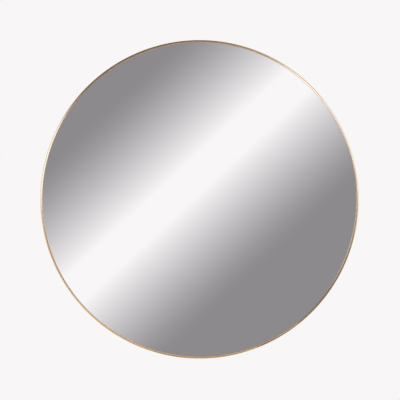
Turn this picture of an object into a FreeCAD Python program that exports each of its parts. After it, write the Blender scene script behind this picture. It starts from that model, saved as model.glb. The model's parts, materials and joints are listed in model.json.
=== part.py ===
import FreeCAD, Part
import Sketcher
import math
import os

# Round wall mirror, 600 mm across, in a slim hoop of rolled aluminium section.
# +Z is up, the glass faces -Y, the wall is the plane Y = 0, and the origin is the
# point of the wall on the mirror's axis. Lengths are millimetres, angles degrees.

SIZES = {
    # hoop: one h-shaped section, rolled round and butted at the bottom
    "outer_diameter": 600.0,
    "wall_thickness": 1.5,
    "lip_width": 4.2,
    "lip_thickness": 1.8,
    "nose_radius": 3.3,
    "lip_edge_radius": 0.4,
    "flange_width": 12.0,
    "flange_thickness": 1.5,
    "flange_edge_radius": 0.4,
    "flange_root_radius": 0.8,
    "rim_height": 4.7,
    "rim_edge_radius": 0.4,
    "seam_gap": 0.3,
    "wall_standoff": 1.0,
    # glass, tape and board, stacked between the lip and the flange
    "glass_thickness": 4.0,
    "glass_edge_gap": 0.8,
    "glass_arris": 0.4,
    "tape_thickness": 1.0,
    "tape_width": 25.0,
    "tape_edge_margin": 18.0,
    "tape_strips": 5,
    "board_thickness": 9.0,
    "board_edge_gap": 0.6,
    "board_arris": 0.5,
    # pan-head screws, one kind throughout
    "screw_diameter": 3.4,
    "screw_length": 8.5,
    "screw_point": 2.0,
    "head_diameter": 7.0,
    "head_height": 2.3,
    "head_rim": 0.9,
    "drive_span": 3.8,
    "drive_width": 0.9,
    "drive_depth": 1.2,
    "hole_clearance": 0.4,
    "pilot_clearance": 0.1,
    "pilot_spare": 0.5,
    "board_screw_number": 8,
    "board_screw_start": 22.5,
    # splice plate across the seam
    "splice_thickness": 2.0,
    "splice_width": 9.0,
    "splice_length": 84.0,
    "splice_corner": 2.0,
    "splice_screw_number": 4,
    "splice_screw_pitch": 22.5,
    # D-ring hangers
    "hanger_inset": 60.0,
    "hanger_angle": 32.0,
    "ring_wire": 3.0,
    "ring_opening": 20.0,
    "ring_corner": 3.5,
    "ring_leg": 2.0,
    "ring_butt_gap": 0.4,
    "ring_board_gap": 0.4,
    "barrel_clearance": 0.08,
    "strap_thickness": 0.9,
    "strap_side_clearance": 0.5,
    "strap_slope": 60.0,
    "strap_bend": 1.5,
    "strap_end_margin": 8.0,
    "strap_end_radius": 5.0,
    "near_screw_gap": 1.5,
    "far_screw_gap": 4.0,
    # rubber bumpers
    "bumper_diameter": 9.0,
    "bumper_tip_diameter": 8.2,
    "bumper_edge_radius": 0.7,
    "bumper_angle": 45.0,
}

# Radii of the hoop and of what it holds.
OUTER = "(dims.outer_diameter / 2)"
INNER = f"({OUTER} - dims.wall_thickness)"
LIP = f"({OUTER} - dims.lip_width)"
FLANGE = f"({INNER} - dims.flange_width)"
SCREW_CIRCLE = f"({INNER} - dims.flange_width / 2)"
GLASS = f"({INNER} - dims.glass_edge_gap)"
BOARD = f"({INNER} - dims.board_edge_gap)"

# Depths along Y, built forward from the wall.
RIM_Y = "(-dims.wall_standoff)"
SEAT_Y = f"({RIM_Y} - dims.rim_height)"
BOARD_BACK_Y = f"({SEAT_Y} - dims.flange_thickness)"
BOARD_FRONT_Y = f"({BOARD_BACK_Y} - dims.board_thickness)"
GLASS_BACK_Y = f"({BOARD_FRONT_Y} - dims.tape_thickness)"
GLASS_FRONT_Y = f"({GLASS_BACK_Y} - dims.glass_thickness)"
FRONT_Y = f"({GLASS_FRONT_Y} - dims.lip_thickness)"
SPLICE_BACK_Y = f"({SEAT_Y} + dims.splice_thickness)"

# Strips of tape fill the square inside the bonded part of the glass.
TAPE_HALF = f"(({GLASS} - dims.tape_edge_margin) / sqrt(2))"
TAPE_RUN = f"(2 * {TAPE_HALF} - dims.tape_width)"

# Holes and patterns for the one kind of screw.
HOLE = "(dims.screw_diameter + dims.hole_clearance)"
PILOT = "(dims.screw_diameter + dims.pilot_clearance)"
PILOT_REACH = "(dims.screw_length + dims.pilot_spare)"
SPLICE_SPAN = ("((dims.splice_screw_number - 1) * dims.splice_screw_pitch"
               f" / {SCREW_CIRCLE} * 180 / pi)")

# Hangers: the ring's centre line, the barrel rolled round its bar, and the strap.
HANGER_CIRCLE = f"({FLANGE} - dims.hanger_inset)"
HANGER_X = f"({HANGER_CIRCLE} * cos(dims.hanger_angle))"
HANGER_Z = f"({HANGER_CIRCLE} * sin(dims.hanger_angle))"
RING_HALF = "((dims.ring_opening + dims.ring_wire) / 2)"
RING_BAR = f"({RING_HALF} - dims.ring_corner)"
RING_SHOULDER = "(dims.ring_corner + dims.ring_leg)"
RING_TIP = f"({RING_SHOULDER} + {RING_HALF})"
BORE = "(dims.ring_wire / 2 + dims.barrel_clearance)"
BARREL = f"({BORE} + dims.strap_thickness)"
HANGER_Y = f"({BOARD_BACK_Y} + {BARREL})"
RING_LEAN = f"asin(({BARREL} - dims.ring_wire / 2 - dims.ring_board_gap) / {RING_TIP})"
STRAP_HALF_WIDTH = f"({RING_BAR} - dims.strap_side_clearance)"
STRAP_TOP = f"(2 * dims.strap_thickness - {BARREL})"
SCREW_REACH = "(dims.ring_wire / 2 + dims.head_diameter / 2)"
NEAR_SCREW = f"({RING_TIP} - {SCREW_REACH} - dims.near_screw_gap)"
FAR_SCREW = f"({RING_TIP} + {SCREW_REACH} + dims.far_screw_gap)"
STRAP_LENGTH = f"({FAR_SCREW} + dims.strap_end_margin)"

SIDES = {"left": "-1", "right": "1"}
QUARTERS = {
    "upper_left": ("-1", "1"),
    "upper_right": ("1", "1"),
    "lower_left": ("-1", "-1"),
    "lower_right": ("1", "-1"),
}
LEFT_TURN = 1
RIGHT_TURN = -1
TOUCH = 1e-4

doc = FreeCAD.newDocument("round_mirror")
sheet = doc.addObject("Spreadsheet::Sheet", "dims")
for row, (alias, number) in enumerate(SIZES.items(), start=1):
    sheet.set(f"A{row}", alias)
    sheet.set(f"B{row}", str(number))
    sheet.setAlias(f"B{row}", alias)
doc.recompute()
nodes = []


def value(expression):
    """The number that an expression on the sheet's sizes comes to."""
    found = sheet.evalExpression(expression)
    return float(getattr(found, "Value", found))


def new_body(label):
    body = doc.addObject("PartDesign::Body", label)
    body.Label = label
    body.AllowCompound = True
    nodes.append(body)
    return body


def origin_item(body, role):
    return next(item for item in body.Origin.OriginFeatures if item.Role == role)


def new_sketch(body, name, plane, shift=None):
    """Sketch on an origin plane, shifted along the sketch's own axes."""
    sketch = body.newObject("Sketcher::SketchObject", f"{body.Label}_{name}")
    sketch.AttachmentSupport = (origin_item(body, plane), [""])
    sketch.MapMode = "FlatFace"
    for axis, expression in (shift or {}).items():
        sketch.setExpression(f"AttachmentOffset.Base.{axis}", expression)
    return sketch


def bind(sketch, kind, refs, expression):
    number = sketch.addConstraint(Sketcher.Constraint(kind, *refs, value(expression)))
    sketch.setExpression(f"Constraints[{number}]", expression)


def pin(sketch, geometry, point, place):
    """Hold a point of the sketch at a pair of expressions."""
    bind(sketch, "DistanceX", (-1, 1, geometry, point), place[0])
    bind(sketch, "DistanceY", (-1, 1, geometry, point), place[1])


def arc_between(start, end, radius, turn):
    """Arc of less than half a circle, kept counter-clockwise as sketches store it."""
    chord = end - start
    across = FreeCAD.Vector(-chord.y, chord.x, 0).normalize() * turn
    rise = math.sqrt(max(radius ** 2 - (chord.Length / 2) ** 2, 0.0))
    centre = (start + end) / 2 + across * rise
    first, last = (start, end) if turn == LEFT_TURN else (end, start)
    angles = [math.atan2(spot.y - centre.y, spot.x - centre.x) for spot in (first, last)]
    round_it = Part.Circle(centre, FreeCAD.Vector(0, 0, 1), radius)
    return Part.ArcOfCircle(round_it, angles[0], angles[1])


def outline(sketch, places, arcs=None, closed=True):
    """Chain through the places; arcs gives the radius and turn of curved segments."""
    arcs = arcs or {}
    spots = [FreeCAD.Vector(value(x), value(y), 0) for x, y in places]
    count = len(places) if closed else len(places) - 1
    made = []
    for index in range(count):
        start = spots[index]
        end = spots[(index + 1) % len(spots)]
        if index in arcs:
            radius, turn = arcs[index]
            made.append(sketch.addGeometry(arc_between(start, end, value(radius), turn)))
        else:
            made.append(sketch.addGeometry(Part.LineSegment(start, end)))
    first_point = [2 if index in arcs and arcs[index][1] == RIGHT_TURN else 1
                   for index in range(count)]
    for index in range(count if closed else count - 1):
        after = (index + 1) % count
        sketch.addConstraint(Sketcher.Constraint(
            "Coincident", made[index], 3 - first_point[index],
            made[after], first_point[after]))
    for index in range(count):
        pin(sketch, made[index], first_point[index], places[index])
        if index in arcs:
            bind(sketch, "Radius", (made[index],), arcs[index][0])
    if not closed:
        pin(sketch, made[-1], 3 - first_point[-1], places[-1])


def circle(sketch, place, diameter):
    centre = FreeCAD.Vector(value(place[0]), value(place[1]), 0)
    round_it = Part.Circle(centre, FreeCAD.Vector(0, 0, 1), value(diameter) / 2)
    number = sketch.addGeometry(round_it)
    pin(sketch, number, 3, place)
    bind(sketch, "Diameter", (number,), diameter)


def feature(body, kind, name, settings, bound=None):
    made = body.newObject(f"PartDesign::{kind}", f"{body.Label}_{name}")
    for key, setting in settings.items():
        setattr(made, key, setting)
    for key, expression in (bound or {}).items():
        made.setExpression(key, expression)
    doc.recompute()
    return made


def pad(body, name, sketch, length, midplane=False):
    return feature(body, "Pad", name, {"Profile": sketch, "Midplane": midplane},
                   {"Length": length})


def revolve(body, name, sketch, axis, angle="360"):
    settings = {"Profile": sketch, "ReferenceAxis": (sketch, [axis]), "Midplane": True}
    return feature(body, "Revolution", name, settings, {"Angle": angle})


def drill(body, name, sketch, depth):
    """Pocket from the sketch towards -Y, which has to take material away."""
    before = body.Shape.Volume
    cut = feature(body, "Pocket", name, {"Profile": sketch, "Reversed": True},
                  {"Length": depth})
    if body.Shape.Volume > before - TOUCH:
        raise ValueError(f"{cut.Name} takes nothing away")
    return cut


def polar_pattern(body, name, originals, count, span):
    """Copies round the mirror's axis."""
    made = feature(body, "PolarPattern", name,
                   {"Originals": originals, "Axis": (origin_item(body, "Y_Axis"), [""])},
                   {"Occurrences": count, "Angle": span})
    body.Tip = made
    doc.recompute()


def linear_pattern(body, name, originals, axis, count, run):
    made = feature(body, "LinearPattern", name,
                   {"Originals": originals, "Direction": (origin_item(body, axis), [""])},
                   {"Occurrences": count, "Length": run})
    body.Tip = made
    doc.recompute()


def soften(body, kind, name, wanted, size):
    """Fillet or chamfer on those edges of the body that pass a test."""
    base = body.Tip
    edges = [f"Edge{number}" for number, edge in enumerate(base.Shape.Edges, start=1)
             if wanted(edge)]
    return feature(body, kind, name, {"Base": (base, edges)},
                   {"Radius" if kind == "Fillet" else "Size": size})


def is_rim(edge, radius):
    """Whether an edge is a full circle of that radius."""
    return isinstance(edge.Curve, Part.Circle) and abs(edge.Curve.Radius - radius) < TOUCH


def runs_along_y(edge):
    if not isinstance(edge.Curve, Part.Line):
        return False
    return abs(abs(edge.Curve.Direction.y) - 1) < TOUCH


def place(body, x, y, z):
    for axis, expression in (("x", x), ("y", y), ("z", z)):
        body.setExpression(f"Placement.Base.{axis}", expression)


def make_hoop():
    """Section with a rounded nose, a lip over the glass and a flange behind the board."""
    body = new_body("frame_hoop")
    section = new_sketch(body, "section", "YZ_Plane")
    nose = "min(dims.nose_radius; 0.95 * (dims.lip_width - dims.lip_edge_radius))"
    rim = "dims.rim_edge_radius"
    edge = "dims.flange_edge_radius"
    root = "dims.flange_root_radius"
    lip = "dims.lip_edge_radius"
    places = [
        (f"{RIM_Y} - {rim}", OUTER),
        (f"{FRONT_Y} + {nose}", OUTER),
        (FRONT_Y, f"{OUTER} - {nose}"),
        (FRONT_Y, f"{LIP} + {lip}"),
        (f"{FRONT_Y} + {lip}", LIP),
        (GLASS_FRONT_Y, LIP),
        (GLASS_FRONT_Y, INNER),
        (BOARD_BACK_Y, INNER),
        (BOARD_BACK_Y, FLANGE),
        (f"{SEAT_Y} - {edge}", FLANGE),
        (SEAT_Y, f"{FLANGE} + {edge}"),
        (SEAT_Y, f"{INNER} - {root}"),
        (f"{SEAT_Y} + {root}", INNER),
        (f"{RIM_Y} - {rim}", INNER),
        (RIM_Y, f"{INNER} + {rim}"),
        (RIM_Y, f"{OUTER} - {rim}"),
    ]
    arcs = {
        1: (nose, LEFT_TURN),
        3: (lip, LEFT_TURN),
        9: (edge, LEFT_TURN),
        11: (root, RIGHT_TURN),
        13: (rim, LEFT_TURN),
        15: (rim, LEFT_TURN),
    }
    outline(section, places, arcs)
    revolve(body, "roll", section, "H_Axis",
            f"360 - dims.seam_gap / {OUTER} * 180 / pi")
    cut_flange_holes(body, "flange", SEAT_Y, "dims.flange_thickness")
    cut_splice_holes(body, "splice", SEAT_Y, "dims.flange_thickness", HOLE)


def on_circle(angle):
    """Sketch shift to a point of the screw circle, by the angle from the top."""
    return f"{SCREW_CIRCLE} * sin({angle})", f"{SCREW_CIRCLE} * cos({angle})"


def cut_flange_holes(body, name, face, depth, diameter=HOLE):
    x, z = on_circle("dims.board_screw_start")
    sketch = new_sketch(body, f"{name}_hole", "XZ_Plane", {"z": f"-{face}"})
    circle(sketch, (x, z), diameter)
    hole = drill(body, f"{name}_drill", sketch, depth)
    polar_pattern(body, f"{name}_holes", [hole], "dims.board_screw_number", "360")


def splice_start():
    return on_circle(f"180 - {SPLICE_SPAN} / 2")


def cut_splice_holes(body, name, face, depth, diameter):
    sketch = new_sketch(body, f"{name}_hole", "XZ_Plane", {"z": f"-{face}"})
    circle(sketch, splice_start(), diameter)
    hole = drill(body, f"{name}_drill", sketch, depth)
    polar_pattern(body, f"{name}_holes", [hole], "dims.splice_screw_number", SPLICE_SPAN)


def make_glass():
    body = new_body("mirror_glass")
    disc = new_sketch(body, "disc", "XZ_Plane", {"z": f"-{GLASS_BACK_Y}"})
    circle(disc, ("0", "0"), f"2 * {GLASS}")
    pad(body, "sheet", disc, "dims.glass_thickness")
    soften(body, "Chamfer", "arris", lambda edge: is_rim(edge, value(GLASS)),
           "dims.glass_arris")


def make_tape():
    body = new_body("mounting_tape")
    strip = new_sketch(body, "strip", "XZ_Plane", {"z": f"-{BOARD_FRONT_Y}"})
    inner_x = f"dims.tape_width - {TAPE_HALF}"
    outline(strip, [
        (f"-{TAPE_HALF}", f"-{TAPE_HALF}"),
        (inner_x, f"-{TAPE_HALF}"),
        (inner_x, TAPE_HALF),
        (f"-{TAPE_HALF}", TAPE_HALF),
    ])
    first = pad(body, "first", strip, "dims.tape_thickness")
    linear_pattern(body, "strips", [first], "X_Axis", "dims.tape_strips", TAPE_RUN)


def make_board():
    """Board with a blind pilot hole for each screw that ends in it."""
    body = new_body("backing_board")
    disc = new_sketch(body, "disc", "XZ_Plane", {"z": f"-{BOARD_BACK_Y}"})
    circle(disc, ("0", "0"), f"2 * {BOARD}")
    pad(body, "panel", disc, "dims.board_thickness")
    soften(body, "Chamfer", "arris", lambda edge: is_rim(edge, value(BOARD)),
           "dims.board_arris")
    flange_depth = f"{PILOT_REACH} - dims.flange_thickness"
    cut_flange_holes(body, "flange", BOARD_BACK_Y, flange_depth, PILOT)
    splice_depth = f"{flange_depth} - dims.splice_thickness"
    cut_splice_holes(body, "splice", BOARD_BACK_Y, splice_depth, PILOT)
    hangers = new_sketch(body, "hanger_hole", "XZ_Plane", {"z": f"-{BOARD_BACK_Y}"})
    for side in SIDES.values():
        for drop in (NEAR_SCREW, FAR_SCREW):
            circle(hangers, (f"{side} * {HANGER_X}", f"{HANGER_Z} - {drop}"), PILOT)
    drill(body, "hanger_drill", hangers, f"{PILOT_REACH} - 2 * dims.strap_thickness")


def screw(body, x, z, seat):
    """Pan-head screw with a cross drive, its head seated at Y = seat, pointing to -Y."""
    turned = new_sketch(body, "half_profile", "XY_Plane", {"x": x, "y": seat, "z": z})
    head = "(dims.head_diameter / 2)"
    shank = "(dims.screw_diameter / 2)"
    crown = "(dims.head_height - dims.head_rim)"
    places = [
        ("0", "-dims.screw_length"),
        (shank, "dims.screw_point - dims.screw_length"),
        (shank, "0"),
        (head, "0"),
        (head, "dims.head_rim"),
        ("0", "dims.head_height"),
    ]
    dome = f"({head} ^ 2 + {crown} ^ 2) / (2 * {crown})"
    outline(turned, places, {4: (dome, LEFT_TURN)})
    solid = revolve(body, "turning", turned, "V_Axis")
    cross = new_sketch(body, "cross", "XZ_Plane",
                       {"x": x, "y": z, "z": f"-({seat} + dims.head_height)"})
    arm = "(dims.drive_span / 2)"
    half = "(dims.drive_width / 2)"
    outline(cross, [
        (arm, f"-{half}"), (arm, half), (half, half), (half, arm),
        (f"-{half}", arm), (f"-{half}", half), (f"-{arm}", half), (f"-{arm}", f"-{half}"),
        (f"-{half}", f"-{half}"), (f"-{half}", f"-{arm}"), (half, f"-{arm}"), (half, f"-{half}"),
    ])
    return [solid, drill(body, "drive", cross, "dims.drive_depth")]


def make_board_screws():
    body = new_body("board_screws")
    one = screw(body, *on_circle("dims.board_screw_start"), SEAT_Y)
    polar_pattern(body, "ring", one, "dims.board_screw_number", "360")


def make_splice():
    """Curved plate over the butted ends of the hoop, and its screws."""
    body = new_body("splice_plate")
    section = new_sketch(body, "section", "YZ_Plane")
    low = f"-({SCREW_CIRCLE} + dims.splice_width / 2)"
    high = f"-({SCREW_CIRCLE} - dims.splice_width / 2)"
    outline(section, [(SEAT_Y, low), (SPLICE_BACK_Y, low), (SPLICE_BACK_Y, high),
                      (SEAT_Y, high)])
    revolve(body, "arc", section, "H_Axis",
            f"dims.splice_length / {SCREW_CIRCLE} * 180 / pi")
    soften(body, "Fillet", "corners", runs_along_y, "dims.splice_corner")
    cut_splice_holes(body, "splice", SPLICE_BACK_Y, "dims.splice_thickness", HOLE)
    screws = new_body("splice_screws")
    one = screw(screws, *splice_start(), SPLICE_BACK_Y)
    polar_pattern(screws, "row", one, "dims.splice_screw_number", SPLICE_SPAN)


def make_strap(side):
    """Strip folded round the ring's bar, both layers lying on the board below it."""
    body = new_body(f"hanger_strap_{side}")
    slope = "dims.strap_slope"
    bend = f"(dims.strap_bend * tan({slope} / 2))"
    foot = f"(({STRAP_TOP} * cos({slope}) - {BARREL}) / sin({slope}))"
    fold = new_sketch(body, "fold", "YZ_Plane")
    places = [
        (f"-{BARREL}", f"-{STRAP_LENGTH}"),
        (STRAP_TOP, f"-{STRAP_LENGTH}"),
        (STRAP_TOP, f"{foot} - {bend}"),
        (f"{STRAP_TOP} + {bend} * sin({slope})", f"{foot} + {bend} * cos({slope})"),
        (f"{BARREL} * cos({slope})", f"-{BARREL} * sin({slope})"),
        (BARREL, "0"),
        ("0", BARREL),
        (f"-{BARREL}", "0"),
    ]
    arcs = {2: ("dims.strap_bend", RIGHT_TURN)}
    arcs.update({index: (BARREL, LEFT_TURN) for index in (4, 5, 6)})
    outline(fold, places, arcs)
    circle(fold, ("0", "0"), f"2 * {BORE}")
    pad(body, "strip", fold, f"2 * {STRAP_HALF_WIDTH}", midplane=True)
    end_z = -value(STRAP_LENGTH)
    soften(body, "Fillet", "end",
           lambda edge: runs_along_y(edge) and abs(edge.CenterOfMass.z - end_z) < TOUCH,
           "dims.strap_end_radius")
    holes = new_sketch(body, "holes", "XZ_Plane", {"z": f"-{STRAP_TOP}"})
    for drop in (NEAR_SCREW, FAR_SCREW):
        circle(holes, ("0", f"-{drop}"), HOLE)
    drill(body, "drill", holes, "2 * dims.strap_thickness")
    place(body, f"{SIDES[side]} * {HANGER_X}", HANGER_Y, HANGER_Z)


def make_hanger_screws(side):
    body = new_body(f"hanger_screws_{side}")
    one = screw(body, "0", f"-{FAR_SCREW}", "0")
    linear_pattern(body, "pair", one, "Z_Axis", "2", f"{FAR_SCREW} - {NEAR_SCREW}")
    place(body, f"{SIDES[side]} * {HANGER_X}",
          f"{BOARD_BACK_Y} + 2 * dims.strap_thickness", HANGER_Z)


def make_ring(side):
    """Wire bent to a D, its ends butted inside the barrel, leaning back on the board."""
    body = new_body(f"d_ring_{side}")
    butt = "(dims.ring_butt_gap / 2)"
    route = new_sketch(body, "route", "XZ_Plane")
    places = [
        (butt, "0"),
        (RING_BAR, "0"),
        (RING_HALF, "dims.ring_corner"),
        (RING_HALF, RING_SHOULDER),
        ("0", RING_TIP),
        (f"-{RING_HALF}", RING_SHOULDER),
        (f"-{RING_HALF}", "dims.ring_corner"),
        (f"-{RING_BAR}", "0"),
        (f"-{butt}", "0"),
    ]
    arcs = {index: ("dims.ring_corner", LEFT_TURN) for index in (1, 6)}
    arcs.update({index: (RING_HALF, LEFT_TURN) for index in (3, 4)})
    outline(route, places, arcs, closed=False)
    wire = new_sketch(body, "wire", "YZ_Plane", {"z": butt})
    circle(wire, ("0", "0"), "dims.ring_wire")
    feature(body, "AdditivePipe", "bend", {"Profile": wire, "Spine": route})
    place(body, f"{SIDES[side]} * {HANGER_X}", HANGER_Y, HANGER_Z)
    body.Placement.Rotation.Axis = FreeCAD.Vector(1, 0, 0)
    body.setExpression("Placement.Rotation.Angle", RING_LEAN)


def make_bumper(quarter):
    """Tapered rubber foot on the flange, reaching just past the rim to the wall."""
    body = new_body(f"bumper_{quarter}")
    half = new_sketch(body, "half_profile", "XY_Plane")
    height = f"-{SEAT_Y}"
    outline(half, [("0", "0"), ("dims.bumper_diameter / 2", "0"),
                   ("dims.bumper_tip_diameter / 2", height), ("0", height)])
    revolve(body, "moulding", half, "V_Axis")
    tip = value("dims.bumper_tip_diameter / 2")
    soften(body, "Fillet", "tip", lambda edge: is_rim(edge, tip), "dims.bumper_edge_radius")
    sign_x, sign_z = QUARTERS[quarter]
    place(body, f"{sign_x} * {SCREW_CIRCLE} * cos(dims.bumper_angle)", SEAT_Y,
          f"{sign_z} * {SCREW_CIRCLE} * sin(dims.bumper_angle)")


make_hoop()
make_glass()
make_tape()
make_board()
make_board_screws()
make_splice()
for side in SIDES:
    make_strap(side)
    make_hanger_screws(side)
    make_ring(side)
for quarter in QUARTERS:
    make_bumper(quarter)
doc.recompute()

for item in doc.Objects:
    if "Invalid" in item.State or "Error" in item.State:
        raise ValueError(f"{item.Name} did not build: {item.State}")
for body in nodes:
    if body.Shape.isNull() or not body.Shape.isValid() or not body.Shape.Solids:
        raise ValueError(f"{body.Label} has no sound shape")

os.makedirs("parts", exist_ok=True)
for body in nodes:
    body.Shape.exportStep(f"parts/{body.Label}.step")
    solids = len(body.Shape.Solids)
    print(f"{body.Label}: {solids} solid(s), {body.Shape.Volume:.1f} mm3")
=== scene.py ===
import bpy
import bmesh
import json
import math
from functools import reduce
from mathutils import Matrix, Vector


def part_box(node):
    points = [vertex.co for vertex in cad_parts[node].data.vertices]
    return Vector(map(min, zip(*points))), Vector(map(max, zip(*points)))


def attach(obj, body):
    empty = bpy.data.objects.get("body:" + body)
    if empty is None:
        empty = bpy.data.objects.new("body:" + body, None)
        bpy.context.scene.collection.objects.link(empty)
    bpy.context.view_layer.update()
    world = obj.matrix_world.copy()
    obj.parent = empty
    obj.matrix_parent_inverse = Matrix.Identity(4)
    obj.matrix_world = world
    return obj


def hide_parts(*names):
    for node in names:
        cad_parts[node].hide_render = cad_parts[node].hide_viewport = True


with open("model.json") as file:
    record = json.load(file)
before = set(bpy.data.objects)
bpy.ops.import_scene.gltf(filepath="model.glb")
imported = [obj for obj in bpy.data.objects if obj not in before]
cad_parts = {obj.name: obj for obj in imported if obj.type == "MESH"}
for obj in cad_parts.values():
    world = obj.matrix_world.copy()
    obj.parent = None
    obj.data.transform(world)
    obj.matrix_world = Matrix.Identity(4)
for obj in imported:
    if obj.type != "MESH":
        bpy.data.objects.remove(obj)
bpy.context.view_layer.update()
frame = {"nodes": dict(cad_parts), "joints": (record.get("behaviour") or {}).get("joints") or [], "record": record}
mm = 0.001
weldReach = 1e-7  # corners nearer than this become one


class Reading:  # a node's output that takes part in sums
    def __init__(self, bench, socket):
        self.bench = bench
        self.socket = socket

    def sibling(self, name):  # another output of the same node
        return Reading(self.bench, self.socket.node.outputs[name])

    def __add__(self, other):
        return self.bench.sum("ADD", self, other)

    def __radd__(self, other):
        return self.bench.sum("ADD", other, self)

    def __sub__(self, other):
        return self.bench.sum("SUBTRACT", self, other)

    def __rsub__(self, other):
        return self.bench.sum("SUBTRACT", other, self)

    def __mul__(self, other):
        return self.bench.sum("MULTIPLY", self, other)

    def __rmul__(self, other):
        return self.bench.sum("MULTIPLY", other, self)

    def __truediv__(self, other):
        return self.bench.sum("DIVIDE", self, other)

    def __rtruediv__(self, other):
        return self.bench.sum("DIVIDE", other, self)


class Bench:  # a node tree with one way to add a node
    def __init__(self, tree):
        self.tree = tree
        tree.nodes.clear()

    def add(self, kind, settings=None, sockets=None, out=0):
        # gives the output that out names, or the node itself where out is None
        node = self.tree.nodes.new(kind)
        for key, setting in (settings or {}).items():
            setattr(node, key, setting)
        for key, given in (sockets or {}).items():
            if isinstance(given, Reading):
                self.tree.links.new(given.socket, node.inputs[key])
            else:
                node.inputs[key].default_value = given
        return node if out is None else Reading(self, node.outputs[out])

    def sum(self, operation, first, second=0.0):
        return self.add("ShaderNodeMath", {"operation": operation}, {0: first, 1: second})

    def sumAll(self, operation, readings):
        return reduce(lambda first, second: self.sum(operation, first, second), readings)

    def weigh(self, first, second, share):  # a share of the first, the rest of the second
        return first * share + second * (1 - share)

    def between(self, mask, low, high):  # colour that goes from low to high with the mask
        return self.add("ShaderNodeMix", {"data_type": "RGBA"}, {0: mask, 6: low, 7: high}, 2)

    def step(self, reading, low, high):  # 0 below low, 1 above high, smooth between
        return self.add("ShaderNodeMapRange", {"interpolation_type": "SMOOTHSTEP"},
                        {"Value": reading, "From Min": low, "From Max": high})

    def noise(self, place, grain):  # grain is the noise's scale, detail and roughness
        scale, detail, roughness = grain
        return self.add("ShaderNodeTexNoise", None, {
            "Vector": place, "Scale": scale, "Detail": detail, "Roughness": roughness})


class Finish(Bench):  # a material that reads Object coordinates
    def __init__(self, name):
        self.material = bpy.data.materials.new(name)
        self.material.use_nodes = True
        super().__init__(self.material.node_tree)
        self.place = self.add("ShaderNodeTexCoord", None, None, "Object")
        split = self.add("ShaderNodeSeparateXYZ", None, {0: self.place})
        self.x, self.y, self.z = (split.sibling(axis) for axis in "XYZ")

    def relief(self, height, depth, strength=1.0):
        return self.add("ShaderNodeBump", None, {
            "Height": height, "Distance": depth, "Strength": strength})

    def principled(self, sockets):
        return self.add("ShaderNodeBsdfPrincipled", None, sockets)

    def close(self, shader):
        self.add("ShaderNodeOutputMaterial", None, {"Surface": shader}, None)
        return self.material


def rgb(red, green, blue):
    return (red, green, blue, 1.0)


goldLook = {
    "colour": rgb(0.76, 0.52, 0.28),
    "deep": rgb(0.69, 0.46, 0.24),
    "roughness": 0.17,
    "roughnessSpread": 0.06,  # how far the brushing moves the roughness
    "marksAlong": 4.0,  # the brushing's scale for each radian round the hoop
    "marksAcross": 5200.0,  # and for each metre across it
    "grain": (1.0, 2.0, 0.5),
    "grainDepth": 0.0012 * mm,
    "clouds": (14.0, 2.0, 0.55),
    "cloudShare": 0.6,
    "toneEdges": (0.3, 0.7),
}


def makeGold(look):
    finish = Finish("goldBrushed")
    around = finish.sum("ARCTAN2", finish.x, finish.z)  # 0 at the top, breaks at the seam
    radius = finish.sum("SQRT", finish.x * finish.x + finish.z * finish.z)
    lines = finish.add("ShaderNodeCombineXYZ", None, {
        "X": around * look["marksAlong"],
        "Y": radius * look["marksAcross"],
        "Z": finish.y * look["marksAcross"]})
    grain = finish.noise(lines, look["grain"])
    clouds = finish.noise(finish.place, look["clouds"])
    tone = finish.step(finish.weigh(clouds, grain, look["cloudShare"]), *look["toneEdges"])
    spread = look["roughnessSpread"]
    return finish.close(finish.principled({
        "Base Color": finish.between(tone, look["deep"], look["colour"]),
        "Metallic": 1.0,
        "Roughness": grain * spread + (look["roughness"] - spread / 2),
        "Normal": finish.relief(grain, look["grainDepth"])}))


glassFront, glassBack = (corner.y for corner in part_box("mirror_glass"))
silverLook = {
    "silver": rgb(0.965, 0.965, 0.965),
    "paint": rgb(0.20, 0.21, 0.22),
    "edge": rgb(0.16, 0.30, 0.24),
    "frontSkin": (glassFront + 0.02 * mm, glassFront + 0.06 * mm),  # where the silver ends
    "backSkin": (glassBack - 0.06 * mm, glassBack - 0.02 * mm),  # where the paint starts
    "roughness": 0.012,
    "wipes": (7.0, 2.0, 0.55),
    "wipeSpread": 0.006,
    "dullRoughness": 0.35,
    "specks": (900.0, 2.0, 0.55),
    "speckSpread": 0.2,
}


def makeSilver(look):
    finish = Finish("silveredGlass")
    front = 1 - finish.step(finish.y, *look["frontSkin"])
    back = finish.step(finish.y, *look["backSkin"])
    sheen = finish.noise(finish.place, look["wipes"]) * look["wipeSpread"] + look["roughness"]
    specks = finish.noise(finish.place, look["specks"])
    matt = specks * look["speckSpread"] + look["dullRoughness"]
    dull = finish.between(back, look["edge"], look["paint"])
    return finish.close(finish.principled({
        "Base Color": finish.between(front, dull, look["silver"]),
        "Metallic": front,
        "Roughness": front * sheen + (1 - front) * matt}))


boardLook = {
    "pale": rgb(0.50, 0.36, 0.235),
    "dark": rgb(0.41, 0.285, 0.18),
    "fleck": rgb(0.26, 0.17, 0.105),
    "roughness": 0.86,
    "fibres": (640.0, 6.0, 0.7),
    "fibreDepth": 0.05 * mm,
    "fibreRelief": 0.6,
    "clouds": (24.0, 4.0, 0.65),
    "fibreShare": 0.72,
    "toneEdges": (0.32, 0.68),
    "flecks": (1300.0, 1.0, 0.55),
    "fleckEdges": (0.66, 0.74),
    "fleckShare": 0.55,
}


def makeBoard(look):
    finish = Finish("fibreboard")
    fibres = finish.noise(finish.place, look["fibres"])
    clouds = finish.noise(finish.place, look["clouds"])
    flecks = finish.step(finish.noise(finish.place, look["flecks"]), *look["fleckEdges"])
    tone = finish.step(finish.weigh(fibres, clouds, look["fibreShare"]), *look["toneEdges"])
    colour = finish.between(tone, look["dark"], look["pale"])
    return finish.close(finish.principled({
        "Base Color": finish.between(flecks * look["fleckShare"], colour, look["fleck"]),
        "Roughness": look["roughness"],
        "Normal": finish.relief(fibres, look["fibreDepth"], look["fibreRelief"])}))


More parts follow.
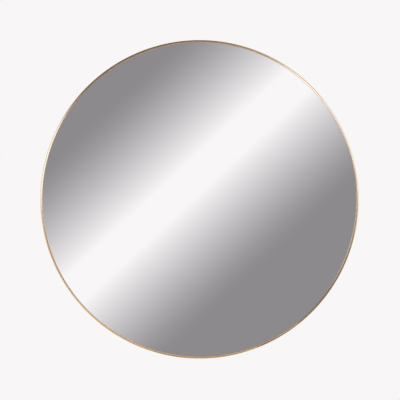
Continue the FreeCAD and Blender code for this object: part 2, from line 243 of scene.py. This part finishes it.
zincLook = {
    "bright": rgb(0.70, 0.71, 0.73),
    "dull": rgb(0.56, 0.57, 0.585),
    "straw": rgb(0.62, 0.60, 0.52),  # faint tint of the plating
    "roughness": 0.27,
    "roughnessSpread": 0.14,
    "clouds": (90.0, 3.0, 0.55),
    "scuffStretch": (2600.0, 2600.0, 240.0),
    "scuffs": (1.0, 3.0, 0.6),
    "scuffDepth": 0.006 * mm,
    "scuffRelief": 0.6,
    "cloudShare": 0.55,
    "toneEdges": (0.33, 0.67),
    "tints": (30.0, 1.0, 0.55),
    "tintEdges": (0.45, 0.75),
    "tintShare": 0.4,
}


def makeZinc(look):
    finish = Finish("zincPlate")
    clouds = finish.noise(finish.place, look["clouds"])
    stretched = finish.add("ShaderNodeVectorMath", {"operation": "MULTIPLY"},
                           {0: finish.place, 1: look["scuffStretch"]})
    scuffs = finish.noise(stretched, look["scuffs"])
    tone = finish.step(finish.weigh(clouds, scuffs, look["cloudShare"]), *look["toneEdges"])
    tint = finish.step(finish.noise(finish.place, look["tints"]), *look["tintEdges"])
    colour = finish.between(tone, look["dull"], look["bright"])
    return finish.close(finish.principled({
        "Base Color": finish.between(tint * look["tintShare"], colour, look["straw"]),
        "Metallic": 1.0,
        "Roughness": look["roughness"] + scuffs * look["roughnessSpread"],
        "Normal": finish.relief(scuffs, look["scuffDepth"], look["scuffRelief"])}))


rubberLook = {
    "colour": rgb(0.022, 0.022, 0.023),
    "dust": rgb(0.075, 0.072, 0.068),
    "roughness": 0.62,
    "dustRoughness": 0.2,  # added where dust lies
    "dusting": (330.0, 4.0, 0.55),
    "dustEdges": (0.48, 0.72),
    "pores": (1800.0, 3.0, 0.55),
    "poreDepth": 0.03 * mm,
    "poreRelief": 0.7,
}


def makeRubber(look):
    finish = Finish("bumperRubber")
    pores = finish.noise(finish.place, look["pores"])
    dust = finish.step(finish.noise(finish.place, look["dusting"]), *look["dustEdges"])
    return finish.close(finish.principled({
        "Base Color": finish.between(dust, look["colour"], look["dust"]),
        "Roughness": dust * look["dustRoughness"] + look["roughness"],
        "Normal": finish.relief(pores, look["poreDepth"], look["poreRelief"])}))


foamLook = {
    "white": rgb(0.80, 0.80, 0.78),
    "cell": rgb(0.60, 0.60, 0.58),
    "roughness": 0.8,
    "cellScale": 2200.0,
    "cellDepth": 0.08 * mm,
}


def makeFoam(look):
    finish = Finish("tapeFoam")
    cells = finish.add("ShaderNodeTexVoronoi", None,
                       {"Vector": finish.place, "Scale": look["cellScale"]})
    return finish.close(finish.principled({
        "Base Color": finish.between(cells, look["cell"], look["white"]),
        "Roughness": look["roughness"],
        "Normal": finish.relief(cells, look["cellDepth"])}))


gold = makeGold(goldLook)
zinc = makeZinc(zincLook)
finishes = {
    "gold_metal": gold,
    "mirror": makeSilver(silverLook),
    "fibreboard": makeBoard(boardLook),
    "zinc_steel": zinc,
    "bumper_rubber": makeRubber(rubberLook),
    "foam_tape": makeFoam(foamLook),
}
slotOf = {part["node"]: part["material_slot"] for part in frame["record"]["subparts"]}
for node, cadObject in frame["nodes"].items():
    for held in cadObject.material_slots:
        held.material = finishes[slotOf[node]]
print("finishes on the CAD nodes:", ", ".join(sorted(finishes)))


def newObject(name, data):
    made = bpy.data.objects.new(name, data)
    bpy.context.scene.collection.objects.link(made)
    return made


class Recipe(Bench):  # a Geometry Nodes tree with named inputs
    kinds = {float: "NodeSocketFloat", int: "NodeSocketInt",
             bpy.types.Object: "NodeSocketObject", bpy.types.Material: "NodeSocketMaterial"}

    def __init__(self, name, takesMesh=False):
        super().__init__(bpy.data.node_groups.new(name, "GeometryNodeTree"))
        self.identifiers = {}
        self.entry = self.add("NodeGroupInput", None, None, None)
        if takesMesh:
            self.newInput("Geometry", "NodeSocketGeometry")
        self.tree.interface.new_socket("Geometry", in_out="OUTPUT",
                                       socket_type="NodeSocketGeometry")

    def newInput(self, name, kind):
        made = self.tree.interface.new_socket(name, in_out="INPUT", socket_type=kind)
        self.identifiers[name] = made.identifier

    def input(self, name, kind=None):  # the kind is given the first time
        if name not in self.identifiers:
            self.newInput(name, self.kinds[kind])
        return Reading(self, self.entry.outputs[name])

    def close(self, geometry):
        whole = self.add("GeometryNodeRealizeInstances", None, {0: geometry})
        dressed = self.add("GeometryNodeSetMaterial", None, {
            "Geometry": whole, "Material": self.input("Finish", bpy.types.Material)})
        self.add("NodeGroupOutput", None, {0: dressed}, None)

    def make(self, name, values, mesh=None):
        source = newObject(name + "Source", mesh or bpy.data.meshes.new(name + "Source"))
        modifier = source.modifiers.new("recipe", "NODES")
        modifier.node_group = self.tree
        for key, given in values.items():
            modifier[self.identifiers[key]] = given
        evaluated = source.evaluated_get(bpy.context.evaluated_depsgraph_get())
        result = bpy.data.meshes.new_from_object(evaluated)
        result.name = name
        bpy.data.objects.remove(source)
        return newObject(name, result)


def meshFrom(shell, name):
    mesh = bpy.data.meshes.new(name)
    bmesh.ops.recalc_face_normals(shell, faces=shell.faces)
    shell.to_mesh(mesh)
    shell.free()
    return mesh


def softenShading(piece, sharpAngle=math.radians(35)):
    shell = bmesh.new()
    shell.from_mesh(piece.data)
    bmesh.ops.remove_doubles(shell, verts=shell.verts, dist=weldReach)
    bmesh.ops.recalc_face_normals(shell, faces=shell.faces)
    for face in shell.faces:
        face.smooth = True
    for edge in shell.edges:
        edge.smooth = len(edge.link_faces) == 2 and edge.calc_face_angle() < sharpAngle
    shell.to_mesh(piece.data)
    shell.free()


def roundedLoop(corners, steps):
    # corners are (across, depth, radius); each becomes an arc of that radius
    loop = []
    for index, (across, depth, radius) in enumerate(corners):
        here = Vector((across, depth))
        if radius == 0:
            loop.append(here)
            continue
        before = (Vector(corners[index - 1][:2]) - here).normalized()
        after = (Vector(corners[(index + 1) % len(corners)][:2]) - here).normalized()
        half = before.angle(after) / 2
        centre = here + (before + after).normalized() * (radius / math.sin(half))
        first = here + before * (radius / math.tan(half)) - centre
        turn = first.angle_signed(here + after * (radius / math.tan(half)) - centre)
        for step in range(steps + 1):
            angle = -turn * step / steps
            loop.append(centre + Vector((
                first.x * math.cos(angle) - first.y * math.sin(angle),
                first.x * math.sin(angle) + first.y * math.cos(angle))))
    return loop


hoopLow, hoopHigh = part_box("frame_hoop")
hoopLook = {
    "radius": -hoopLow.z,
    "frontY": hoopLow.y,
    "rimY": hoopHigh.y,
    "glassY": glassFront,
    "boardY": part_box("backing_board")[1].y,
    "wall": 1.5 * mm,
    "lipWidth": 4.2 * mm,
    "noseRadius": 3.3 * mm,
    "lipEdge": 0.4 * mm,
    "flangeWidth": 12 * mm,
    "flangeThickness": 1.5 * mm,
    "rootRadius": 0.8 * mm,
    "smallEdge": 0.4 * mm,
    "seamGap": 0.3 * mm,
    "steps": 720,
    "arcSteps": 7,
}


def hoopSection(look):
    # across is counted from the outside of the hoop, so inwards is negative
    wall, lip = -look["wall"], -look["lipWidth"]
    flange = wall - look["flangeWidth"]
    seat = look["boardY"] + look["flangeThickness"]
    edge = look["smallEdge"]
    return roundedLoop([
        (0.0, look["rimY"], edge),
        (0.0, look["frontY"], look["noseRadius"]),
        (lip, look["frontY"], look["lipEdge"]),
        (lip, look["glassY"], 0),
        (wall, look["glassY"], 0),
        (wall, look["boardY"], 0),
        (flange, look["boardY"], 0),
        (flange, seat, edge),
        (wall, seat, look["rootRadius"]),
        (wall, look["rimY"], edge),
    ], look["arcSteps"])


def sectionCurve(look):
    loop = hoopSection(look)
    curve = bpy.data.curves.new("hoopSection", "CURVE")
    curve.dimensions = "3D"
    spline = curve.splines.new("POLY")
    spline.points.add(len(loop) - 1)
    for point, place in zip(spline.points, loop):
        point.co = (place.x, place.y, 0, 1)
    spline.use_cyclic_u = True
    return newObject("hoopSection", curve)


def hoopRecipe():
    # the section runs round an arc that leaves the seam open at the bottom
    recipe = Recipe("rolledHoop")
    gap = recipe.input("Seam Gap", float) / recipe.input("Radius", float)
    path = recipe.add("GeometryNodeCurveArc", {"mode": "RADIUS"}, {
        "Resolution": recipe.input("Steps", int),
        "Radius": recipe.input("Radius"),
        "Start Angle": gap / 2 - math.pi / 2,
        "Sweep Angle": 2 * math.pi - gap})
    profile = recipe.add("GeometryNodeObjectInfo", None,
                         {"Object": recipe.input("Section", bpy.types.Object)}, "Geometry")
    swept = recipe.add("GeometryNodeCurveToMesh", None, {
        "Curve": path, "Profile Curve": profile, "Fill Caps": True})
    recipe.close(recipe.add("GeometryNodeTransform", None, {
        "Geometry": swept, "Rotation": (math.pi / 2, 0, 0)}))
    return recipe


def makeHoop(look):
    section = sectionCurve(look)
    hoop = hoopRecipe().make("goldHoop", {
        "Seam Gap": look["seamGap"], "Radius": look["radius"], "Steps": look["steps"],
        "Section": section, "Finish": gold})
    bpy.data.objects.remove(section)
    softenShading(hoop)
    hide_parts("frame_hoop")
    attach(hoop, "mirror")
    print("hoop rolled:", len(hoop.data.polygons), "faces")


makeHoop(hoopLook)

screwLook = {
    "headRadius": 3.5 * mm,
    "headRim": 0.9 * mm,
    "headHeight": 2.3 * mm,
    "crownSteps": 9,
    "edge": 0.25 * mm,
    "shankRadius": 1.7 * mm,
    "length": 8.5 * mm,
    "point": 2.0 * mm,
    "turns": 40,
    "driveArm": 1.9 * mm,
    "driveHalf": 0.45 * mm,
    "driveDepth": 1.3 * mm,
    "driveFloor": 0.55,  # the drive narrows to this share at its floor
    "driveAbove": 0.5 * mm,  # its cutter stands this far over the head
    "driveMouth": 1.15,  # and is this share wide there
    "seed": 7,
    "boardCount": 8,
    "boardStart": math.radians(22.5),  # from the top
    "splicePitch": 22.5 * mm,
    "spliceSteps": (-1.5, -0.5, 0.5, 1.5),  # pitches from the seam
    "hangerDrops": (10.5 * mm, 26.0 * mm),  # below the axis of the ring
}


def screwBlank(look):
    head, rim, top = look["headRadius"], look["headRim"], look["headHeight"]
    crown = top - rim
    dome = (head * head + crown * crown) / (2 * crown)
    profile = [(0.0, -look["length"]), (look["shankRadius"], look["point"] - look["length"]),
               (look["shankRadius"], 0.0), (head - look["edge"], 0.0), (head, look["edge"]),
               (head, rim)]
    sweep = math.asin(head / dome)
    for step in range(1, look["crownSteps"]):
        angle = sweep * (1 - step / look["crownSteps"])
        profile.append((dome * math.sin(angle), top - dome * (1 - math.cos(angle))))
    profile.append((0.0, top))
    shell = bmesh.new()
    points = [shell.verts.new((r, y, 0)) for r, y in profile]
    chain = [shell.edges.new(pair) for pair in zip(points, points[1:])]
    bmesh.ops.spin(shell, geom=points + chain, axis=(0, 1, 0), cent=(0, 0, 0),
                   angle=2 * math.pi, steps=look["turns"], use_merge=True)
    bmesh.ops.remove_doubles(shell, verts=shell.verts, dist=weldReach)
    return newObject("screwBlank", meshFrom(shell, "screwBlank"))


def screwDrive(look):
    # the cutter of the cross, wide above the head and narrow at the floor
    arm, half, top = look["driveArm"], look["driveHalf"], look["headHeight"]
    cross = [(arm, -half), (arm, half), (half, half), (half, arm), (-half, arm), (-half, half),
             (-arm, half), (-arm, -half), (-half, -half), (-half, -arm), (half, -arm),
             (half, -half)]
    levels = [(top + look["driveAbove"], look["driveMouth"]),
              (top - look["driveDepth"], look["driveFloor"])]
    shell = bmesh.new()
    rings = [[shell.verts.new((x * share, y, z * share)) for x, z in cross]
             for y, share in levels]
    for index in range(len(cross)):
        after = (index + 1) % len(cross)
        shell.faces.new((rings[0][index], rings[0][after], rings[1][after], rings[1][index]))
    for ring in rings:
        shell.faces.new(ring)
    return newObject("screwDrive", meshFrom(shell, "screwDrive"))


def screwRecipe():
    # one screw on each point, each turned by chance about its own axis
    recipe = Recipe("screwRow", takesMesh=True)
    blank, drive = (recipe.add("GeometryNodeObjectInfo", None,
                               {"Object": recipe.input(name, bpy.types.Object)}, "Geometry")
                    for name in ("Blank", "Drive"))
    cut = recipe.add("GeometryNodeMeshBoolean", {"operation": "DIFFERENCE"},
                     {"Mesh 1": blank, "Mesh 2": drive})
    twist = recipe.add("FunctionNodeRandomValue", {"data_type": "FLOAT"},
                       {2: 0.0, 3: math.pi / 2, "Seed": recipe.input("Seed", int)}, 1)
    turned = recipe.add("FunctionNodeAxisAngleToRotation", None,
                        {"Axis": (0, 1, 0), "Angle": twist})
    recipe.close(recipe.add("GeometryNodeInstanceOnPoints", None, {
        "Points": recipe.input("Geometry"), "Instance": cut, "Rotation": turned}))
    return recipe


def screwRows(look):
    # name of a row: the node that it replaces, X and Z of its screws
    circle = hoopLook["radius"] - hoopLook["wall"] - hoopLook["flangeWidth"] / 2
    boardAngles = [look["boardStart"] + 2 * math.pi * step / look["boardCount"]
                   for step in range(look["boardCount"])]
    spliceAngles = [math.pi - look["splicePitch"] / circle * step
                    for step in look["spliceSteps"]]
    axisOf = {joint["child"]: joint["pos_m"] for joint in frame["joints"]}

    def onCircle(angles):  # angles go from the top to the right
        return [(circle * math.sin(angle), circle * math.cos(angle)) for angle in angles]

    def underRing(ring):
        x, _, z = axisOf[ring]
        return [(x, z - drop) for drop in look["hangerDrops"]]

    return {
        "boardScrews": ("board_screws", onCircle(boardAngles)),
        "spliceScrews": ("splice_screws", onCircle(spliceAngles)),
        "hangerScrewsLeft": ("hanger_screws_left", underRing("ring_left")),
        "hangerScrewsRight": ("hanger_screws_right", underRing("ring_right")),
    }


def makeScrews(look):
    blank, drive = screwBlank(look), screwDrive(look)
    recipe = screwRecipe()
    for number, (name, (node, places)) in enumerate(screwRows(look).items()):
        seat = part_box(node)[0].y + look["length"]  # the points of the screws are the lowest Y
        points = bpy.data.meshes.new(name + "Points")
        points.from_pydata([(x, seat, z) for x, z in places], [], [])
        row = recipe.make(name, {"Blank": blank, "Drive": drive,
                                 "Seed": look["seed"] + number, "Finish": zinc}, points)
        softenShading(row)
        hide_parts(node)
        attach(row, "mirror")
        print("screws set:", name, len(row.data.polygons), "faces")
    for spare in (blank, drive):
        bpy.data.objects.remove(spare)


makeScrews(screwLook)

studioLook = {
    "white": rgb(0.939, 0.922, 0.922),
    "fill": rgb(1.0, 0.99, 0.98),
    "fillStrength": 0.55,
    "floorZ": -300.3 * mm,
    "floorColour": rgb(0.86, 0.85, 0.845),
    "floorRoughness": 0.9,
    "floorFade": (0.10, 1.05),  # the floor clears to the background between these radii
    "floorReach": 40.0,
    "floorSides": 64,
}


def seenRays(bench):
    # 1 for rays that see the background itself: camera, glossy and transmitted ones
    path = bench.add("ShaderNodeLightPath")
    return bench.sumAll("MAXIMUM", [path.sibling(name) for name in (
        "Is Camera Ray", "Is Glossy Ray", "Is Transmission Ray")])


def makeWorld(look):
    world = bpy.data.worlds.new("studioWorld")
    bpy.context.scene.world = world
    world.use_nodes = True
    bench = Bench(world.node_tree)
    fill = bench.add("ShaderNodeBackground", None, {
        "Color": look["fill"], "Strength": look["fillStrength"]})
    white = bench.add("ShaderNodeBackground", None, {"Color": look["white"], "Strength": 1.0})
    mixed = bench.add("ShaderNodeMixShader", None, {0: seenRays(bench), 1: fill, 2: white})
    bench.add("ShaderNodeOutputWorld", None, {"Surface": mixed}, None)


def makeFloor(look):
    shell = bmesh.new()
    bmesh.ops.create_circle(shell, cap_ends=True, segments=look["floorSides"],
                            radius=look["floorReach"])
    for vert in shell.verts:
        vert.co.z = look["floorZ"]
    floor = newObject("studioFloor", meshFrom(shell, "studioFloor"))
    finish = Finish("paleFloor")
    away = finish.sum("SQRT", finish.x * finish.x + finish.y * finish.y)
    shade = finish.principled({
        "Base Color": look["floorColour"], "Roughness": look["floorRoughness"]})
    floor.data.materials.append(finish.close(finish.add("ShaderNodeMixShader", None, {
        0: finish.step(away, *look["floorFade"]), 1: shade,
        2: finish.add("ShaderNodeBsdfTransparent")})))


def sheetCorners(low, high):
    # corners of a flat sheet that is square to one axis, from its lowest and highest corner
    first, second = (axis for axis in range(3) if low[axis] != high[axis])
    corners = []
    for across, along in ((low, low), (high, low), (high, high), (low, high)):
        corner = list(low)
        corner[first], corner[second] = across[first], along[second]
        corners.append(corner)
    return corners


def makePanel(name, corners, glow):
    # a sheet that only reflections see
    mesh = bpy.data.meshes.new(name)
    mesh.from_pydata(corners, [], [(0, 1, 2, 3)])
    sheet = mesh.uv_layers.new(name="sheet")
    for corner, place in zip(sheet.data, ((0, 0), (1, 0), (1, 1), (0, 1))):
        corner.uv = place
    mesh.materials.append(glow)
    panel = newObject(name, mesh)
    panel.visible_camera = False
    panel.visible_diffuse = False
    panel.visible_shadow = False
    panel.visible_transmission = False


def makeGlow(name, colour, strength, soft):
    # soft is the share of the panel over which its light fades at each of its four edges
    finish = Finish(name)
    sheet = finish.add("ShaderNodeUVMap", {"uv_map": "sheet"})
    across = finish.add("ShaderNodeSeparateXYZ", None, {0: sheet})
    along = across.sibling("Y")
    inside = finish.sumAll("MINIMUM", [edge / share for edge, share in zip(
        (across, 1 - across, along, 1 - along), soft)])
    # light that the mirror throws on the floor passes through, so its tint stays off there
    bounces = finish.add("ShaderNodeLightPath", None, None, "Diffuse Depth")
    direct = 1 - finish.sum("MINIMUM", bounces, 1.0)
    return finish.close(finish.add("ShaderNodeMixShader", None, {
        0: finish.step(inside, 0.0, 1.0) * direct,
        1: finish.add("ShaderNodeBsdfTransparent"),
        2: finish.add("ShaderNodeEmission", None, {"Color": colour, "Strength": strength})}))


slantLook = {
    "y": -3.4,
    "half": (4.6, 3.6),
    "slope": math.radians(43.0),
    "shift": 0.0366,
    "period": 0.70,
    "stripHalf": 0.028,
    "fall": 0.18,  # from the white of a strip to the grey between strips
    "curve": 1.5,
    "white": rgb(0.973, 0.955, 0.967),
    "grey": rgb(0.276, 0.263, 0.276),
}


def makeSlantPanel(look):
    # the grey front panel with soft slanting strips of light, which the mirror shows
    finish = Finish("slantStrips")
    along = finish.x * -math.sin(look["slope"]) + finish.z * math.cos(look["slope"])
    away = finish.sum("PINGPONG", along - look["shift"], look["period"] / 2)
    fall = finish.add("ShaderNodeClamp", None, {
        "Value": 1 - (away - look["stripHalf"]) / look["fall"]})
    tone = finish.between(finish.sum("POWER", fall, look["curve"]), look["grey"], look["white"])
    glow = finish.add("ShaderNodeEmission", None, {"Color": tone, "Strength": 1.0})
    wide, high = look["half"]
    makePanel("slantCard", sheetCorners((-wide, look["y"], -high), (wide, look["y"], high)),
              finish.close(glow))


# Soft boxes and dark flags stand round the camera for the rim of the hoop to mirror.
# Each has its first and last angle in degrees from the right towards the top, its near and
# far reach from the middle, colour, strength, and the share of its angle over which its light
# comes up. The cool ones take the yellow out of the brightest gold.
frontPanels = {
    "boxRight": (-4, 43, 0.46, 3.3, rgb(1.0, 1.54, 3.1), 1.22, 0.55),
    "boxCorner": (38, 58, 0.46, 3.3, rgb(1.0, 1.44, 2.4), 2.2, 0.06),
    "flagTop": (80, 149.5, 0.46, 3.3, rgb(1.0, 1.0, 1.25), 0.18, 0.3),
    "boxLeft": (148.5, 182.5, 0.46, 3.3, rgb(1.0, 1.46, 2.4), 1.85, 0.06),
    "flagLeft": (182, 226, 0.50, 3.1, rgb(1.0, 0.97, 0.95), 0.42, 0.06),
    "outerRight": (-4, 60, 3.3, 5.4, rgb(1.0, 1.15, 1.45), 1.05, 0.06),
    "outerTop": (60, 150, 3.3, 5.4, rgb(1.0, 0.97, 0.95), 0.42, 0.15),
    "outerLeft": (146, 186, 3.3, 5.4, rgb(1.0, 1.1, 1.3), 1.05, 0.1),
}
frontSoft = 0.06
frontY = slantLook["y"] + 0.1

# The wall of the hoop mirrors these, beside, over and under it: lowest and highest corner,
# colour, strength, and softness at the four edges.
floorZ = studioLook["floorZ"]
sidePanels = {
    "sideLeft": ((-1.7, -0.9, -0.6), (-1.7, 1.2, 1.2),
                 rgb(1.0, 0.99, 0.97), 1.2, (0.2, 0.2, 0.3, 0.3)),
    "sideRight": ((1.7, -0.9, -0.6), (1.7, 1.2, 1.6),
                  rgb(1.0, 0.99, 0.97), 1.2, (0.2, 0.2, 0.3, 0.3)),
    "boxSide": ((1.69, -0.8, -0.08), (1.69, -0.05, 1.5),
                rgb(1.0, 1.46, 2.7), 1.6, (0.05, 0.12, 0.1, 0.1)),
    "boxSideLeft": ((-1.69, -0.8, -0.12), (-1.69, -0.05, 1.0),
                    rgb(1.0, 1.42, 2.4), 1.5, (0.05, 0.12, 0.1, 0.1)),
    "flagOver": ((-3.4, -1.4, 1.9), (1.6, 2.4, 1.9),
                 rgb(1.0, 0.95, 0.92), 0.16, (0.25, 0.4, 0.1, 0.45)),
    "flagAhead": ((-3.4, -3.2, 1.91), (1.6, -1.1, 1.91),
                  rgb(1.0, 0.97, 0.95), 0.38, (0.25, 0.4, 0.25, 0.1)),
    # The next sheet lies on the floor just in front of the hoop's foot. It is a painted contact shadow, which the
    # mirror and the bottom of the rim reflect.
    "flagFoot": ((-0.24, -0.056, floorZ + 0.15 * mm), (0.13, -0.016, floorZ + 0.15 * mm),
                 rgb(1.0, 0.99, 0.98), 0.6, (0.4, 0.1, 0.7, 0.05)),
    "flagToe": ((0.10, -0.12, floorZ + 0.6 * mm), (0.32, 0.06, floorZ + 0.6 * mm),
                rgb(1.0, 1.0, 1.06), 0.33, (0.15, 0.15, 0.2, 0.2)),
    "flagUnder": ((0.22, -1.7, floorZ + 0.5 * mm), (2.2, 0.7, floorZ + 0.5 * mm),
                  rgb(1.0, 0.98, 1.05), 0.31, (0.02, 0.9, 0.1, 0.2)),
}


def sectorCorners(first, last, near, far):
    return [(reach * math.cos(math.radians(angle)), frontY,
             reach * math.sin(math.radians(angle)))
            for reach, angle in ((near, first), (far, first), (far, last), (near, last))]


def makePanels():
    for name, (first, last, near, far, colour, strength, rise) in frontPanels.items():
        makePanel(name, sectorCorners(first, last, near, far), makeGlow(
            name + "Glow", colour, strength, (frontSoft, frontSoft, rise, frontSoft)))
    for name, (low, high, colour, strength, soft) in sidePanels.items():
        makePanel(name, sheetCorners(low, high),
                  makeGlow(name + "Glow", colour, strength, soft))


lampLook = {
    # place and watts; each lamp points at the middle of the mirror
    "keyLamp": ((-1.2, -1.8, 1.9), 34),
    "fillLamp": ((1.6, -1.3, 1.2), 16),
    "backLamp": ((0.9, 2.0, 1.7), 30),
}
lampSize = 1.4


def makeLamp(name, place, watts):
    lamp = bpy.data.lights.new(name, "AREA")
    lamp.shape = "DISK"
    lamp.size = lampSize
    lamp.energy = watts
    made = newObject(name, lamp)
    made.location = place
    made.rotation_euler = (-Vector(place)).to_track_quat("-Z", "Y").to_euler()
    made.visible_camera = False
    made.visible_glossy = False


makeWorld(studioLook)
makeFloor(studioLook)
makeSlantPanel(slantLook)
makePanels()
for name, (place, watts) in lampLook.items():
    makeLamp(name, place, watts)
print("studio lit:", 1 + len(frontPanels) + len(sidePanels), "panels,", len(lampLook), "lamps")

cameraLook = {
    "distance": 2.0,
    "imageSize": 400.0,
    "hoopPixels": 318.5,  # the hoop's diameter in the image
    "hoopCentre": (199.5, 199.3),  # its middle, from the top left
}


def makeCamera(look):
    size = look["imageSize"]
    across, down = look["hoopCentre"]
    lens = bpy.data.cameras.new("photoCamera")
    lens.type = "ORTHO"
    lens.ortho_scale = 2 * hoopLook["radius"] * size / look["hoopPixels"]
    lens.shift_x = (size / 2 - across) / size
    lens.shift_y = (down - size / 2) / size
    camera = newObject("photoCamera", lens)
    camera.location = (0, -look["distance"], 0)
    camera.rotation_euler = (math.pi / 2, 0, 0)
    bpy.context.scene.camera = camera
    print("camera set")


makeCamera(cameraLook)
bpy.context.scene.view_settings.view_transform = "Standard"
